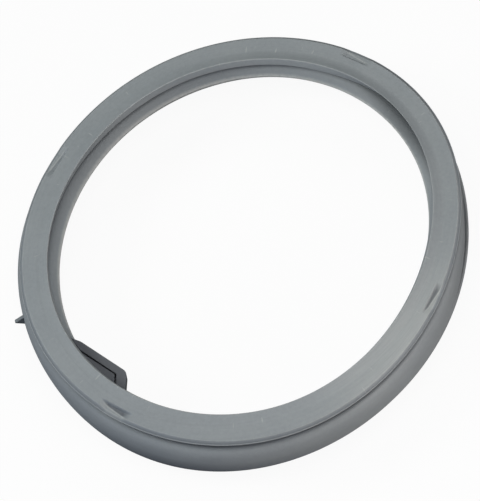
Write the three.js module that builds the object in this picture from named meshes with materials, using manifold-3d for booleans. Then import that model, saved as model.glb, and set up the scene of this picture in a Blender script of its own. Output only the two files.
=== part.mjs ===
// A door seal for a front-loading washing machine: one moulded ring of grey rubber.
// Millimetres, +Z up. The ring lies on its rear rim with the front face up, as it lies on a bench.
// One section is swept around the ring, and the scoop, the fin and the recesses are added and cut.
import * as THREE from "three";
import { ConvexGeometry } from "three/addons/geometries/ConvexGeometry.js";
import { mergeVertices } from "three/addons/utils/BufferGeometryUtils.js";
import Module from "manifold-3d";

const wasm = await Module();
wasm.setup();

// The whole ring, and the rubber's own thickness
const overallHeight = 55;
const throatRadius = 148.8;
const throatHeight = 36.5;
const rubber = 3.2;

// Front face, from the crest beside the hole out to its edge. The soft valley between them is
// deepest at one azimuth and fades towards the other side of the ring
const crestStep = 6.5;
const crestRounding = 0.9;
const faceWidth = 20.5;
const faceFall = 3.3;
const valleyOut = 9.7;
const valleyFall = 4.2;
const valleyFootShare = 0.75;
const valleySlopeShare = 0.6;
const valleyDeepAzimuth = 40;
const valleyRise = 2.6;

// Inner lip, the strip that turns down from the crest into the hole
const innerLipDepth = 6.2;
const innerLipLean = 2.4;
const innerLipThickness = 2.6;

// Outer lip: it bevels down to a thin bead. The groove under it takes the edge of the machine's
// front panel, and sinks a little behind the shoulder of the outer wall
const outerLipOverhang = 2.6;
const lipBevelOut = 1.9;
const lipBevelFall = 2.5;
const lipBeadFall = 2.7;
const outerLipThickness = 3.9;
const panelGrooveWidth = 4;
const panelGrooveDepth = 6;
const panelGrooveSink = 2;

// Outer wall, a soft barrel from its shoulder under the groove to a slightly flared foot above the
// clamp groove. It bulges most on one side
const shoulderInset = 2.2;
const shoulderReach = 4.2;
const shoulderFall = 2;
const wallFlare = 3.8;
const wallTurn = 15;
const wallFootOut = 0.8;
const wallFootSharpness = 8;
const wallBulge = 2.4;
const bulgeAzimuth = -92;
const wallEdgeHeight = 12.6;
const wallEdgeRounding = 1;

// Rear bead: a flange held by the tub's clamp ring, the clamp groove over it and a flat rim under it
const flangeOut = 1.3;
const flangeThickness = 7.4;
const flangeRounding = 1;
const clampGrooveDepth = 3.9;
const rimStep = 20.5;
const beadDepth = 13.6;
const beadThickness = 4.5;

// Inner wall: it narrows to the throat, then curls outward in the fold behind the face
const innerWallPull = 1.9;
const innerWallTurn = 6.5;
const curlReach = 15.6;
const curlRise = 9.4;
const curlStartOut = 2.6;
const curlStartRise = 4;
const curlEndPull = 8.6;

// Free state of the soft ring: the front leans sideways, and slight waves run around the ring.
// Each wave has an amplitude and the azimuth of one of its crests
const leanRight = 0.225;
const leanBack = -0.057;
const ovalWave = 2;
const ovalAzimuth = -53;
const trefoilWave = 1.7;
const trefoilAzimuth = 47;
const squareWave = 0.76;
const squareAzimuth = 22;

// How far each level of the ring follows the waves, and how far it sits off the ring's axis
const FACE = { oval: 1, trefoil: 1, square: 1, right: 0, back: 0 };
const CREST = { oval: 0.5, trefoil: 0.6, square: 0.9, right: 0, back: 0 };
const WALL = { oval: 1.5, trefoil: 1.7, square: -1.5, right: -0.7, back: -1.2 };
const REAR = { oval: 0.2, trefoil: 1.3, square: -1, right: 2.8, back: 1.8 };
const THROAT = { oval: 0, trefoil: -0.3, square: 0.2, right: 1.1, back: -0.4 };

// Where the fold stands open: the inner lip swings outward and the curl sinks
const openAzimuth = 34;
const openHalfWidth = 38;
const openLip = 5.5;
const openCurl = 14;
const openCurlPower = 1.2;

// Four recesses in the outer margin of the face, each open to the face's edge
const recessAzimuths = [60, 152.3, 237.3, 336];
const recessLength = 28;
const recessFloorLength = 15;
const recessFloorWidth = 4.8;
const recessWallRun = 0.7;
const recessDepth = 2.4;
const cutterMargin = 3;

// Water scoop: a lug on the inner wall beside the throat, with a pocket in its front
const lugStartAzimuth = 211;
const lugCornerAzimuth = 230.6;
const lugEndAzimuth = 235.2;
const lugReach = 13;
const lugCornerRounding = 4;
const lugThickness = 9;
const lugFrontRise = 5;
const lugRoot = 2.7;
const lugTail = 3;
const pocketBorder = 5.9;
const pocketEndBorder = 6.1;
const pocketDepth = 2.6;
const pocketRoot = 1;

// Alignment fin on the outer wall
const finAzimuth = 194.5;
const finReach = 11;
const finHeight = 18;
const finTipShare = 0.6;
const finTopHeight = 37;
const finThickness = 3;
const finRoot = 1.6;
const finTipRounding = 1.2;
const finLevelShare = 0.4;

// Steps of the sweep and its curves
const azimuthSteps = 80;
const faceSteps = 4;
const wallSteps = 6;
const lowerWallSteps = 4;
const curlSteps = 6;
const cornerSteps = 6;
const weldDistance = 1e-4;

const rubberColour = 0x8c9496;

const crestRadius = throatRadius + crestStep;
const valleyRadius = crestRadius + valleyOut;
const valleyHeight = overallHeight - valleyFall;
const faceEdgeRadius = crestRadius + faceWidth;
const faceEdgeHeight = overallHeight - faceFall;
const outerLipRadius = faceEdgeRadius + outerLipOverhang;
const grooveTop = faceEdgeHeight - outerLipThickness;
const grooveBottom = grooveTop - panelGrooveWidth;
const grooveRootRadius = outerLipRadius - panelGrooveDepth;
const wallEdgeRadius = outerLipRadius + wallFlare;
const flangeRadius = outerLipRadius + flangeOut;
const clampRootRadius = flangeRadius - clampGrooveDepth;
const rimInnerRadius = throatRadius + rimStep;
const lugTop = throatHeight + lugFrontRise;

const { degToRad: radians, lerp, euclideanModulo } = THREE.MathUtils;

function wave(azimuth, level) {
  const oval = ovalWave * Math.cos(radians(2 * (azimuth - ovalAzimuth)));
  const trefoil = trefoilWave * Math.cos(radians(3 * (azimuth - trefoilAzimuth)));
  const square = squareWave * Math.cos(radians(4 * (azimuth - squareAzimuth)));
  return level.oval * oval + level.trefoil * trefoil + level.square * square;
}

// A level part of the way from one level to another
function between(first, last, share) {
  return Object.fromEntries(Object.keys(first).map((key) => [key, lerp(first[key], last[key], share)]));
}

function polar(radius, azimuth) {
  return new THREE.Vector2(radius * Math.cos(radians(azimuth)), radius * Math.sin(radians(azimuth)));
}

const CLAMP = between(WALL, REAR, 0.5);

// A point of the ring's plan at one of its levels
function onRing(radius, azimuth, level) {
  return polar(radius + wave(azimuth, level), azimuth).add(new THREE.Vector2(level.right, level.back));
}

// Takes a shape made beside the X axis to its azimuth on the ring
function toRing(geometry, azimuth, level) {
  return geometry
    .translate(wave(azimuth, level), 0, 0)
    .rotateZ(radians(azimuth))
    .translate(level.right, level.back, 0);
}

// From 0 where the fold is closed to 1 in the middle of its open stretch
function foldOpening(azimuth) {
  const share = (euclideanModulo(azimuth - openAzimuth + 180, 360) - 180) / openHalfWidth;
  return Math.abs(share) < 1 ? Math.cos(0.5 * Math.PI * share) ** 2 : 0;
}

// From 0 where the valley is deepest to 1 on the other side of the ring
function valleyFading(azimuth) {
  return 0.5 - 0.5 * Math.cos(radians(azimuth - valleyDeepAzimuth));
}

// From 0 on one side of the ring to 1 where the outer wall bulges most
function wallBulging(azimuth) {
  return (0.5 + 0.5 * Math.cos(radians(azimuth - bulgeAzimuth))) ** 2;
}

// A point of the section: its radius and height at rest, its level, how far it moves outward and
// down where the fold stands fully open, how far it rises where the valley has faded, and how far
// it moves outward where the wall bulges most
function station(r, z, level, { openOut = 0, openDown = 0, rise = 0, bulge = 0 } = {}) {
  return { r, z, level, openOut, openDown, rise, bulge };
}

// Front face: a narrow crest, a straight slope that runs out into the valley, and the plain margin
function faceStations() {
  const crest = new THREE.Vector2(crestRadius, overallHeight);
  const foot = new THREE.Vector2(lerp(crestRadius, valleyRadius, valleyFootShare), valleyHeight);
  const slope = crest.clone().lerp(foot, valleySlopeShare);
  const fall = new THREE.CubicBezierCurve(crest, slope, foot, new THREE.Vector2(valleyRadius, valleyHeight));
  const face = [
    station(crestRadius, overallHeight - 0.5 * crestRounding, CREST),
    station(crestRadius + 0.5 * crestRounding, overallHeight, CREST),
  ];
  for (let i = 1; i <= faceSteps; i++) {
    const p = fall.getPoint(i / faceSteps);
    const rise = (valleyRise * (overallHeight - p.y)) / valleyFall;
    face.push(station(p.x, p.y, between(CREST, FACE, i / faceSteps), { rise }));
  }
  return [...face, station(faceEdgeRadius, faceEdgeHeight, FACE)];
}

// The outer wall from its shoulder down to its foot, at a depth under its outer surface
function wallStations(depth) {
  const shoulder = new THREE.Vector2(outerLipRadius - shoulderInset, grooveBottom);
  const foot = new THREE.Vector2(wallEdgeRadius - wallFootOut, wallEdgeHeight + wallEdgeRounding);
  const barrel = new THREE.CubicBezierCurve(
    shoulder,
    new THREE.Vector2(shoulder.x + shoulderReach, shoulder.y - shoulderFall),
    new THREE.Vector2(foot.x, wallEdgeHeight + wallTurn),
    foot,
  );
  const wall = [];
  for (let i = 0; i <= wallSteps; i++) {
    const share = i / wallSteps;
    const p = barrel.getPoint(share);
    const across = barrel.getTangent(share).multiplyScalar(depth);
    const flare = wallFootOut * share ** wallFootSharpness;
    const bulge = wallBulge * Math.sin(Math.PI * share);
    wall.push(station(p.x + across.y + flare, p.y - across.x, between(FACE, WALL, share), { bulge }));
  }
  return wall;
}

// Outer lip, panel groove and outer wall, down to the clamp groove
function outerStations() {
  return [
    station(faceEdgeRadius + lipBevelOut, faceEdgeHeight - lipBevelFall, FACE),
    station(outerLipRadius, faceEdgeHeight - lipBeadFall, FACE),
    station(outerLipRadius, grooveTop, FACE),
    station(grooveRootRadius, grooveTop, FACE),
    station(grooveRootRadius, grooveBottom - panelGrooveSink, FACE),
    ...wallStations(0),
    station(wallEdgeRadius - wallEdgeRounding, wallEdgeHeight, WALL),
  ];
}

// Clamp groove, flange and the flat rim that the ring lies on
function rearStations() {
  return [
    station(clampRootRadius, wallEdgeHeight, CLAMP),
    station(clampRootRadius, flangeThickness, CLAMP),
    station(flangeRadius, flangeThickness, REAR),
    station(flangeRadius, flangeRounding, REAR),
    station(flangeRadius - flangeRounding, 0, REAR),
    station(rimInnerRadius + flangeRounding, 0, REAR),
    station(rimInnerRadius, flangeRounding, REAR),
  ];
}

// Inner wall, up from the rim to the throat and along the curl. The far side of the rubber runs
// back along the same curves, past a solid edge at the throat, as far down as the solid bead
function innerWallStations() {
  const throat = new THREE.Vector2(throatRadius, throatHeight);
  const lower = new THREE.CubicBezierCurve(
    new THREE.Vector2(rimInnerRadius, flangeRounding),
    new THREE.Vector2(rimInnerRadius - innerWallPull, wallEdgeHeight),
    new THREE.Vector2(throatRadius, throatHeight - innerWallTurn),
    throat,
  );
  const curl = new THREE.CubicBezierCurve(
    throat,
    new THREE.Vector2(throatRadius + curlStartOut, throatHeight + curlStartRise),
    new THREE.Vector2(throatRadius + curlReach - curlEndPull, throatHeight + curlRise),
    new THREE.Vector2(throatRadius + curlReach, throatHeight + curlRise),
  );
  const near = [];
  const far = [];
  function follow(curve, steps, first, last, opening) {
    for (let i = 1; i <= steps; i++) {
      const share = i / steps;
      const level = between(first, last, share);
      const p = curve.getPoint(share);
      const across = curve.getTangent(share).multiplyScalar(rubber);
      const openDown = opening * share ** openCurlPower;
      near.push(station(p.x, p.y, level, { openDown }));
      if (p.y > beadDepth + rubber && p.x > throatRadius + 0.5 * rubber) {
        far.unshift(station(p.x + across.y, p.y - across.x, level, { openDown }));
      }
    }
  }
  follow(lower, lowerWallSteps, REAR, THROAT, 0);
  follow(curl, curlSteps, THROAT, FACE, openCurl);
  return [...near, ...far];
}

// The hollow between the inner and outer walls, round to the inner lip
function hollowStations() {
  const grooveBack = grooveRootRadius - rubber;
  const grooveUnderside = grooveBottom - panelGrooveSink - rubber;
  const cornerRadius = outerLipRadius - 0.5 * shoulderInset - rubber;
  const footHeight = wallEdgeHeight + wallEdgeRounding + rubber;
  const wallBack = wallStations(rubber).filter((s) => s.z > footHeight && s.z < grooveUnderside);
  const faceBack = valleyHeight - rubber;
  const lipEdgeRadius = crestRadius - innerLipLean;
  const lipEdgeHeight = overallHeight - innerLipDepth;
  return [
    station(rimInnerRadius, beadDepth, CLAMP),
    station(clampRootRadius - beadThickness, beadDepth, CLAMP),
    station(wallEdgeRadius - rubber, footHeight, WALL),
    ...wallBack.reverse(),
    station(cornerRadius, grooveUnderside, FACE),
    station(grooveBack, grooveUnderside, FACE),
    station(grooveBack, faceBack, FACE),
    station(valleyRadius, faceBack, FACE),
    station(lipEdgeRadius + innerLipThickness, lipEdgeHeight, CREST, { openOut: openLip }),
    station(lipEdgeRadius, lipEdgeHeight, CREST, { openOut: openLip }),
  ];
}

// The section swept once around the axis, as one closed mesh
function sweptRing() {
  const section = [
    ...faceStations(), ...outerStations(), ...rearStations(), ...innerWallStations(), ...hollowStations(),
  ];
  const count = section.length;
  const positions = [];
  const triangles = [];
  for (let i = 0; i < azimuthSteps; i++) {
    const azimuth = (360 * i) / azimuthSteps;
    const open = foldOpening(azimuth);
    const faded = valleyFading(azimuth);
    const bulging = wallBulging(azimuth);
    const next = (i + 1) % azimuthSteps;
    section.forEach((s, j) => {
      const p = onRing(s.r + s.openOut * open + s.bulge * bulging, azimuth, s.level);
      positions.push(p.x, p.y, s.z - s.openDown * open + s.rise * faded);
      const after = (j + 1) % count;
      const corners = [i * count + j, next * count + j, next * count + after, i * count + after];
      triangles.push(corners[0], corners[2], corners[1], corners[0], corners[3], corners[2]);
    });
  }
  const ring = new THREE.BufferGeometry();
  ring.setAttribute("position", new THREE.Float32BufferAttribute(positions, 3));
  ring.setIndex(triangles);
  return ring;
}

function extruded(shape, depth) {
  return new THREE.ExtrudeGeometry(shape, { depth, bevelEnabled: false, curveSegments: cornerSteps });
}

// A closed polygon whose last corner is rounded
function shapeWithRoundedEnd(points, rounding) {
  const tip = points.at(-1);
  const enter = points.at(-2).clone().sub(tip).setLength(rounding).add(tip);
  const leave = points[0].clone().sub(tip).setLength(rounding).add(tip);
  const shape = new THREE.Shape([...points.slice(0, -1), enter]);
  shape.quadraticCurveTo(tip.x, tip.y, leave.x, leave.y);
  return shape;
}

// A point of the inner wall's plan at the throat, the given step outside the throat's own edge
function besideThroat(step, azimuth) {
  return onRing(throatRadius + step, azimuth, THROAT);
}

function lug() {
  const middleAzimuth = lerp(lugStartAzimuth, lugEndAzimuth, 0.5);
  const points = [
    besideThroat(lugRoot, lugEndAzimuth),
    besideThroat(lugRoot, middleAzimuth),
    besideThroat(lugRoot, lugStartAzimuth - lugTail),
    besideThroat(-lugRoot, lugStartAzimuth),
    besideThroat(-lugReach, lugCornerAzimuth),
  ];
  const shape = shapeWithRoundedEnd(points, lugCornerRounding);
  return extruded(shape, lugThickness).translate(0, 0, lugTop - lugThickness);
}

// The pocket leaves a border along the lug's straight side and along its end
function pocket() {
  const start = besideThroat(-lugRoot, lugStartAzimuth);
  const corner = besideThroat(-lugReach, lugCornerAzimuth);
  const end = besideThroat(pocketRoot, lugEndAzimuth);
  const along = corner.clone().sub(start).normalize();
  const outward = new THREE.Vector2(along.y, -along.x);
  const endward = end.clone().sub(corner).normalize();
  const inner = corner.clone();
  inner.addScaledVector(along, -pocketEndBorder).addScaledVector(outward, pocketBorder);
  const reach = end.clone().sub(inner).dot(endward);
  const points = [
    inner,
    inner.clone().addScaledVector(endward, reach),
    besideThroat(pocketRoot, lerp(lugStartAzimuth, lugEndAzimuth, 0.5)),
    start.clone().addScaledVector(outward, pocketBorder),
  ];
  return extruded(new THREE.Shape(points), pocketDepth + cutterMargin).translate(0, 0, lugTop - pocketDepth);
}

function fin() {
  const root = outerLipRadius - finRoot;
  const points = [
    new THREE.Vector2(root, finTopHeight),
    new THREE.Vector2(root, finTopHeight - finHeight),
    new THREE.Vector2(outerLipRadius + finReach, finTopHeight - finHeight * (1 - finTipShare)),
  ];
  const upright = extruded(shapeWithRoundedEnd(points, finTipRounding), finThickness)
    .translate(0, 0, -0.5 * finThickness)
    .rotateX(0.5 * Math.PI);
  return toRing(upright, finAzimuth, between(FACE, WALL, finLevelShare));
}

// A wedge with a steep inner side and slanting ends, which leads from the face to a shorter floor
function recess(azimuth) {
  const floor = faceEdgeHeight - recessDepth;
  const top = faceEdgeHeight + cutterMargin;
  const slopes = (top - floor) / recessDepth;
  const innerFloor = faceEdgeRadius - recessFloorWidth;
  const innerTop = innerFloor - recessWallRun * slopes;
  const outer = outerLipRadius + cutterMargin;
  const halfFloor = 0.5 * recessFloorLength;
  const halfTop = halfFloor + 0.5 * (recessLength - recessFloorLength) * slopes;
  const corners = [];
  for (const side of [-1, 1]) {
    corners.push(new THREE.Vector3(innerFloor, side * halfFloor, floor));
    corners.push(new THREE.Vector3(outer, side * halfFloor, floor));
    corners.push(new THREE.Vector3(innerTop, side * halfTop, top));
    corners.push(new THREE.Vector3(outer, side * halfTop, top));
  }
  return toRing(new ConvexGeometry(corners), azimuth, FACE);
}

function toSolid(geometry) {
  const bare = geometry.clone();
  bare.deleteAttribute("normal");
  bare.deleteAttribute("uv");
  const welded = mergeVertices(bare, weldDistance);
  const vertProperties = Float32Array.from(welded.attributes.position.array);
  const triVerts = Uint32Array.from(welded.index.array);
  return new wasm.Manifold(new wasm.Mesh({ numProp: 3, vertProperties, triVerts }));
}

function toGeometry(solid) {
  const mesh = solid.getMesh();
  const geometry = new THREE.BufferGeometry();
  geometry.setAttribute("position", new THREE.BufferAttribute(mesh.vertProperties, 3));
  geometry.setIndex(new THREE.BufferAttribute(mesh.triVerts, 1));
  return geometry;
}

// The lean shifts each level sideways in proportion to its height, so the rear rim stays flat.
// The origin is then in the middle of the outline, on the surface that the rim lies on
function doorSeal() {
  let solid = toSolid(sweptRing()).add(toSolid(lug())).subtract(toSolid(pocket())).add(toSolid(fin()));
  for (const azimuth of recessAzimuths) {
    solid = solid.subtract(toSolid(recess(azimuth)));
  }
  const geometry = toGeometry(solid);
  geometry.applyMatrix4(new THREE.Matrix4().makeShear(0, 0, 0, 0, leanRight, leanBack));
  geometry.computeBoundingBox();
  const middle = geometry.boundingBox.getCenter(new THREE.Vector3());
  geometry.translate(-middle.x, -middle.y, -geometry.boundingBox.min.z);
  geometry.computeVertexNormals();
  const finish = new THREE.MeshStandardMaterial({ color: rubberColour, roughness: 0.62, metalness: 0 });
  const mesh = new THREE.Mesh(geometry, finish);
  mesh.name = "door_seal";
  return mesh;
}

const seal = new THREE.Group();
seal.add(doorSeal());

export default seal;
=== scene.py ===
"""A washing machine door seal: one moulded ring of matte grey rubber, lying on a pale floor."""
import math

import bpy
import numpy as np
from mathutils import Matrix, Vector


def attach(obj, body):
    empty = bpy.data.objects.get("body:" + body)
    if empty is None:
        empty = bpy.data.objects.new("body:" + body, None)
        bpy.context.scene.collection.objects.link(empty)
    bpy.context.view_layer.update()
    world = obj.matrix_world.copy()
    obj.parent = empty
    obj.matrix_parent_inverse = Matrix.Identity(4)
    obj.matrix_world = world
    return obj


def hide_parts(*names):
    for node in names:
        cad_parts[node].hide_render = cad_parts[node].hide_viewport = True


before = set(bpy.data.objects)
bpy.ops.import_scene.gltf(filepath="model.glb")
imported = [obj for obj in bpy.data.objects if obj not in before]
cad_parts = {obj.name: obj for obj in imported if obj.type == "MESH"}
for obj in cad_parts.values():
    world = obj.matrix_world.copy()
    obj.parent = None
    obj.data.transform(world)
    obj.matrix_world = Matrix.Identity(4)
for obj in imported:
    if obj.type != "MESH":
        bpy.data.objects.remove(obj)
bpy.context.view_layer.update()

# The ring's sizes are in millimetres and degrees, and its meshes in metres
MM = 0.001

# The whole ring, and the rubber's own thickness
OVERALL_HEIGHT = 55
THROAT_RADIUS = 148.8
THROAT_HEIGHT = 36.5
RUBBER = 3.2

# Front face, from the crest beside the hole out to its edge
CREST_RADIUS = THROAT_RADIUS + 6.5
CREST_ROUNDING = 0.9
FACE_EDGE_RADIUS = CREST_RADIUS + 20.5
FACE_EDGE_HEIGHT = OVERALL_HEIGHT - 3.3
VALLEY_RADIUS = CREST_RADIUS + 9.7
VALLEY_HEIGHT = OVERALL_HEIGHT - 4.2
VALLEY_FOOT_SHARE = 0.75
VALLEY_SLOPE_SHARE = 0.6

# Inner lip
INNER_LIP_DEPTH = 6.2
INNER_LIP_LEAN = 2.4
INNER_LIP_THICKNESS = 2.6

# Outer lip, which bevels down to a thin bead, and the groove under the bead
LIP_RADIUS = FACE_EDGE_RADIUS + 2.6
LIP_BEVEL_OUT = 1.9
LIP_BEVEL_FALL = 2.5
BEAD_TOP_FALL = 2.7
GROOVE_TOP = FACE_EDGE_HEIGHT - 3.9
GROOVE_BOTTOM = GROOVE_TOP - 4
GROOVE_SINK = 2
GROOVE_ROOT_RADIUS = LIP_RADIUS - 6

# Outer wall
SHOULDER_INSET = 2.2
SHOULDER_REACH = 4.2
SHOULDER_FALL = 2
WALL_FLARE = 3.8
WALL_TURN = 15
WALL_FOOT_OUT = 0.8
WALL_FOOT_SHARPNESS = 8
WALL_BULGE = 2.4
BULGE_AZIMUTH = -92
WALL_EDGE_RADIUS = LIP_RADIUS + WALL_FLARE
WALL_EDGE_HEIGHT = 12.6
WALL_EDGE_ROUNDING = 1

# Rear bead, with the clamp groove and the flange
FLANGE_RADIUS = LIP_RADIUS + 1.3
FLANGE_THICKNESS = 7.4
FLANGE_ROUNDING = 1
CLAMP_ROOT_RADIUS = FLANGE_RADIUS - 3.9
RIM_INNER_RADIUS = THROAT_RADIUS + 20.5
BEAD_DEPTH = 13.6
BEAD_THICKNESS = 4.5

# Inner wall and curl
INNER_WALL_PULL = 1.9
INNER_WALL_TURN = 6.5
CURL_REACH = 15.6
CURL_RISE = 9.4
CURL_START_OUT = 2.6
CURL_START_RISE = 4
CURL_END_PULL = 8.6

# Lean of the front, and the waves around the soft ring as (count, amplitude, azimuth of a crest)
LEAN = (0.225, -0.057)
WAVES = ((2, 2, -53), (3, 1.7, 47), (4, 0.76, 22))

# How far each level follows the three waves, and how far it sits right and back of the ring's axis
FACE = np.array([1, 1, 1, 0, 0])
CREST = np.array([0.5, 0.6, 0.9, 0, 0])
WALL = np.array([1.5, 1.7, -1.5, -0.7, -1.2])
REAR = np.array([0.2, 1.3, -1, 2.8, 1.8])
THROAT = np.array([0, -0.3, 0.2, 1.1, -0.4])
CLAMP = 0.5 * (WALL + REAR)

# How far the valley rises on the side away from its deepest azimuth
VALLEY_DEEP_AZIMUTH = 40
VALLEY_RISE = 2.6

# Where the fold stands open
OPEN_AZIMUTH = 34
OPEN_HALF_WIDTH = 38
OPEN_LIP = 5.5
OPEN_CURL = 14
OPEN_CURL_POWER = 1.2

# Where the inner lip is tucked back, so that the crest hides it
TUCK_AZIMUTH = 168
TUCK_HALF_WIDTH = 45
LIP_TUCK = 0.55

# Recesses in the face's outer margin
RECESS_AZIMUTHS = (60, 152.3, 237.3, 336)
RECESS_LENGTH = 28
RECESS_FLOOR_LENGTH = 15
RECESS_FLOOR_RADIUS = FACE_EDGE_RADIUS - 4.8
RECESS_WALL_RUN = 0.7
RECESS_DEPTH = 2.4
RECESS_SOFTNESS = 0.25

# Water scoop
LUG_START_AZIMUTH = 211
LUG_CORNER_AZIMUTH = 230.6
LUG_END_AZIMUTH = 235.2
LUG_REACH = 13
LUG_CORNER_ROUNDING = 4
LUG_THICKNESS = 9
LUG_TOP = THROAT_HEIGHT + 5
LUG_ROOT = 2.7
LUG_TAIL = 3
LUG_EDGE_ROUNDING = 0.5
POCKET_BORDER = 5.9
POCKET_END_BORDER = 6.1
POCKET_DEPTH = 1.4
POCKET_ROOT = 1
SLIT_WIDTH = 0.6
SLIT_END_WIDTH = 1.5
SLIT_DEPTH = 7.5
CUTTER_MARGIN = 3

# Alignment fin
FIN_AZIMUTH = 194.5
FIN_REACH = 11
FIN_HEIGHT = 18
FIN_TIP_SHARE = 0.6
FIN_TOP_HEIGHT = 37
FIN_THICKNESS = 3
FIN_ROOT = 1.6
FIN_TIP_ROUNDING = 1.2
FIN_LEVEL_SHARE = 0.4
FIN_EDGE_ROUNDING = 0.4

# Roundings of the section's corners that have no size of their own in the solid
FACE_EDGE_ROUNDING = 0.6
BEVEL_FOOT_ROUNDING = 0.15
BEAD_ROUNDING = 0.4
CLAMP_GROOVE_ROUNDING = 0.5
THROAT_ROUNDING = 0.8
CURL_TIP_ROUNDING = 1.2
LIP_EDGE_ROUNDING = 0.8
HIDDEN_ROUNDING = 1.5

# How near a point of the section has to be to count as on a form
NEAR = 0.1

# Painted highlight along the throat's thin edge
THROAT_RIM_REACH = 3.2
THROAT_RIM_HIGHLIGHT = 4

# Painted shade that deepens into the fold, and the side of the ring where there is least of it
FOLD_LIGHT_REACH = 1
FOLD_DARKENING_REACH = 11
LEAST_FOLD_SHADE_AZIMUTH = 30
LEAST_FOLD_SHADE_HALF_WIDTH = 130
FOLD_SHADE_CUT = 0.8

# Painted shade in the grooves and in the corner at the bevel's foot
GROOVE_SHADE = 0.35
BEVEL_FOOT_SHADE = 0.45
BEVEL_FOOT_REACH = 0.25

# Painted shade, darker towards the outer wall's foot, on one side of the ring
FOOT_SHADE = 0.85
FOOT_SHADE_HEIGHT = 16
FOOT_SHADE_AZIMUTH = -103
FOOT_SHADE_HALF_WIDTH = 52

# Painted shadow of the lip on the shoulder under the panel groove, with least on one side of the
# ring
SHOULDER_SHADE = 0.36
SHOULDER_SHADE_HEIGHT = 2.8
SHOULDER_SHADE_CUT = 0.75
SHOULDER_SHADE_CUT_AZIMUTH = -150
SHOULDER_SHADE_CUT_HALF_WIDTH = 60

# Painted shade in a wedge along each recess's inner wall, and a painted highlight line beside the
# wedge
RECESS_SHADES = (0.08, 0.3, 0.66, 0.56)
RECESS_SHADE_NARROW = 0.8
RECESS_SHADE_WIDE = 4.2
RECESS_SHADE_EDGE = 0.5
RECESS_LINE_WIDTH = 0.7
RECESS_LINE_HIGHLIGHT = 2.2

# A stretch of the face painted paler: streaks over a painted sheen that grows from the crest
# outward
RUBBED_SHEEN_AZIMUTH = -37
RUBBED_SHEEN_HALF_WIDTH = 42
RUBBED_SHEEN_AT_CREST = 0.45

# Places of the values that a level holds, and that a station of the section holds
SHIFT = slice(3, 5)
R, Z = 0, 1
FOLLOW = slice(2, 5)
RIGHT, BACK = 5, 6
OPEN_OUT, OPEN_DOWN = 7, 8
RISE, BULGE = 9, 10

# Fineness of the sweep around the ring, in degrees
AZIMUTH_STEP = 1.25
RECESS_AZIMUTH_STEP = 0.25
RECESS_AZIMUTH_MARGIN = 0.6

# Fineness of the section, in steps along each curve
SLOPE_STEPS = 14
MARGIN_STEPS = 24
WALL_STEPS = 20
LOWER_WALL_STEPS = 16
CURL_STEPS = 14
CORNER_STEPS = 3
HIDDEN_CORNER_STEPS = 1
PLAN_CORNER_STEPS = 8

# Stations left out beside a rounded corner, and the most of a side that a rounding takes
CORNER_CLEARANCE = 2
LARGEST_CORNER_SHARE = 0.45

# Softened edges of the scoop and the fin
EDGE_SEGMENTS = 3
EDGE_ANGLE = 35

# How strongly a large face decides the shading at its corners
SHADING_WEIGHT = 80

# A height above the whole ring, and the digits of a millimetre that part two points
ABOVE_ALL = 2.0 * OVERALL_HEIGHT
POINT_DIGITS = 3


def between(first, last, share):
    """A value, or a level, part of the way from one to another."""
    return first + (last - first) * share


def bezier(points, steps):
    """Points along the curve that these control points pull."""
    shares = np.linspace(0, 1, steps + 1)[:, None]
    level = [np.array(p, float)[None, :] for p in points]
    while len(level) > 1:
        level = [between(a, b, shares) for a, b in zip(level, level[1:])]
    return level[0]


def smooth_least(a, b, softness):
    """The lesser of two heights, with the corner between them rounded."""
    blend = np.clip(0.5 + 0.5 * (b - a) / softness, 0, 1)
    return between(b, a, blend) - softness * blend * (1 - blend)


def wave(azimuth, level):
    """How far a level stands out from its round form at an azimuth."""
    out = 0
    for (count, amplitude, crest), follow in zip(WAVES, level):
        out = out + follow * amplitude * np.cos(np.radians(count * (azimuth - crest)))
    return out


def on_ring(radius, azimuth, level):
    """A point of the ring's plan at one of its levels."""
    r = radius + wave(azimuth, level)
    a = math.radians(azimuth)
    return np.array([r * math.cos(a), r * math.sin(a)]) + level[SHIFT]


def swelling(azimuth, middle, half_width):
    """From 1 in the middle of a stretch of the ring to 0 at its ends and beyond."""
    share = ((azimuth - middle + 180) % 360 - 180) / half_width
    return np.where(np.abs(share) < 1, np.cos(0.5 * math.pi * share) ** 2, 0)


def valley_fading(azimuth):
    """From 0 where the valley is deepest to 1 on the other side of the ring."""
    return 0.5 - 0.5 * np.cos(np.radians(azimuth - VALLEY_DEEP_AZIMUTH))


def wall_bulging(azimuth):
    """From 0 on one side of the ring to 1 where the outer wall bulges most."""
    return (0.5 + 0.5 * np.cos(np.radians(azimuth - BULGE_AZIMUTH))) ** 2


def ring_axis():
    """Where the ring's axis stands in the frame, found from the flat rim that it lies on."""
    points = np.array([v.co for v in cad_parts["door_seal"].data.vertices]) / MM
    rim = points[points[:, 2] < NEAR]
    rim = rim[np.unique(np.round(rim, POINT_DIGITS), axis=0, return_index=True)[1]]
    return rim[:, :2].mean(axis=0) - REAR[SHIFT]


# A station of the section holds its radius and height, its level, how far it moves outward and
# down where the fold stands fully open, how far it rises where the valley fades, and how far it
# moves outward where the outer wall bulges
def station(r, z, level, open_out=0, open_down=0, rise=0, bulge=0):
    return np.array([r, z, *level, open_out, open_down, rise, bulge])


def inward(points):
    """Unit vectors square to a curve, to its right as it runs, which is into the rubber."""
    slopes = np.gradient(points, axis=0)
    slopes /= np.linalg.norm(slopes, axis=1)[:, None]
    return np.stack([slopes[:, 1], -slopes[:, 0]], axis=1)


def stations(points, first, last):
    """Stations along a curve, whose level changes from one to another on the way."""
    shares = np.linspace(0, 1, len(points))
    return [(station(*p, between(first, last, s)), 0) for p, s in zip(points, shares)]


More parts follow.
